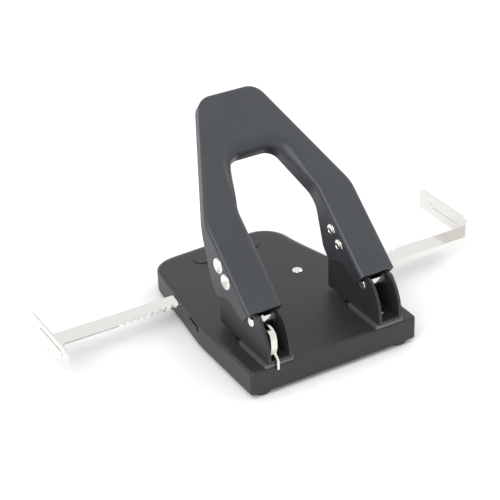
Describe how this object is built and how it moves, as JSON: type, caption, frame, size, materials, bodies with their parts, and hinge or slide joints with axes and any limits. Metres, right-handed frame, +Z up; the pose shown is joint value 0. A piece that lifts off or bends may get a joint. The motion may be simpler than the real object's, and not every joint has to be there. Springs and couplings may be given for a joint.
{
  "type": "hole punch",
  "caption": "Two-hole desk paper punch with an arched lever handle, sliding centring guide bars, a handle lock and a hinged chip tray.",
  "frame": {"origin": "on the table under the middle of the 120.4 x 159 mm base, 1.2 mm behind the middle of the whole part", "axes": "+X along the base's front edge, to the right of a user who stands at the front edge and looks along +Y over the base; +Y from the front edge, where the handle is hinged, to the side the paper comes from; +Z up"},
  "size_m": [0.301, 0.1607, 0.1412],
  "materials": {
    "base_enamel": "satin black enamel",
    "foot_rubber": "matt black rubber",
    "spacer_steel": "satin dark grey sheet",
    "tower_enamel": "satin black enamel",
    "rivet_nickel": "bright nickel plate",
    "tool_steel": "ground tool steel",
    "guide_block_steel": "dark sintered steel",
    "spring_steel": "oiled spring wire",
    "zinc_steel": "zinc plated sheet",
    "handle_coating": "fine textured black powder coat",
    "arm_steel": "black phosphated sheet",
    "guide_nickel": "polished nickel plate",
    "gear_brass": "plain brass",
    "lever_nickel": "satin nickel plate",
    "tray_plastic": "fine grained black plastic"
  },
  "bodies": {
    "base": {"base_plate": "base_enamel", "foot_front_left": "foot_rubber", "foot_front_right": "foot_rubber", "foot_rear_left": "foot_rubber", "foot_rear_right": "foot_rubber", "throat_spacer_left": "spacer_steel", "throat_spacer_right": "spacer_steel", "tower_left": "tower_enamel", "tower_right": "tower_enamel", "tower_rivets": "rivet_nickel", "die_left": "tool_steel", "die_right": "tool_steel", "die_rivets": "rivet_nickel", "punch_guide_left": "guide_block_steel", "punch_guide_right": "guide_block_steel", "pivot_pin_left": "rivet_nickel", "pivot_pin_right": "rivet_nickel", "return_spring_left": "spring_steel", "return_spring_right": "spring_steel", "pinion_pin": "rivet_nickel", "guide_bridge": "zinc_steel", "bridge_spacers": "zinc_steel", "bridge_rivets": "rivet_nickel", "tray_hinge_bracket": "zinc_steel", "tray_hinge_pin": "zinc_steel"},
    "handle_arch": {"handle": "handle_coating", "handle_rivets_left": "rivet_nickel", "handle_rivets_right": "rivet_nickel", "arm_spacers_left": "rivet_nickel", "arm_spacers_right": "rivet_nickel", "lever_arm_left": "arm_steel", "lever_arm_right": "arm_steel"},
    "punch_left": {"punch_pin_left": "tool_steel", "drive_pin_left": "tool_steel", "spring_collar_left": "zinc_steel"},
    "punch_right": {"punch_pin_right": "tool_steel", "drive_pin_right": "tool_steel", "spring_collar_right": "zinc_steel"},
    "guide_bar_left": {"guide_left": "guide_nickel"},
    "guide_bar_right": {"guide_right": "guide_nickel"},
    "pinion_gear": {"pinion": "gear_brass"},
    "lock": {"lock_lever": "lever_nickel"},
    "tray": {"chip_tray": "tray_plastic"}
  },
  "joints": [
    {"name": "handle_press", "type": "hinge", "parent": "base", "child": "handle_arch", "pos_m": [0, -0.0605, 0.042], "axis": [-1, 0, 0], "range_deg": [0, 15], "stiffness_Nm_per_rad": 2.5, "springref_deg": -20.05},
    {"name": "punch_left_stroke", "type": "slide", "parent": "base", "child": "punch_left", "axis": [0, 0, -1], "range_m": [0, 0.0072], "deforming": ["return_spring_left"]},
    {"name": "punch_right_stroke", "type": "slide", "parent": "base", "child": "punch_right", "axis": [0, 0, -1], "range_m": [0, 0.0072], "deforming": ["return_spring_right"]},
    {"name": "guide_left_slide", "type": "slide", "parent": "base", "child": "guide_bar_left", "axis": [1, 0, 0], "range_m": [0, 0.075]},
    {"name": "guide_right_slide", "type": "slide", "parent": "base", "child": "guide_bar_right", "axis": [-1, 0, 0], "range_m": [0, 0.0755]},
    {"name": "pinion_spin", "type": "hinge", "parent": "base", "child": "pinion_gear", "pos_m": [0, 0.0095, 0.01545], "axis": [0, 0, -1], "range_deg": [0, 480]},
    {"name": "lock_swing", "type": "hinge", "parent": "base", "child": "lock", "pos_m": [-0.0426, -0.0605, 0.042], "axis": [-1, 0, 0], "range_deg": [0, 25]},
    {"name": "tray_swing", "type": "hinge", "parent": "base", "child": "tray", "pos_m": [0, 0.0506, 0.0075], "axis": [1, 0, 0], "range_deg": [0, 60]}
  ],
  "couplings": [
    {"joint": "punch_left_stroke", "follows": "handle_press", "m_per_rad": 0.02712},
    {"joint": "punch_right_stroke", "follows": "handle_press", "m_per_rad": 0.02712},
    {"joint": "guide_right_slide", "follows": "guide_left_slide", "ratio": 1},
    {"joint": "pinion_spin", "follows": "guide_left_slide", "rad_per_m": 111.11}
  ]
}
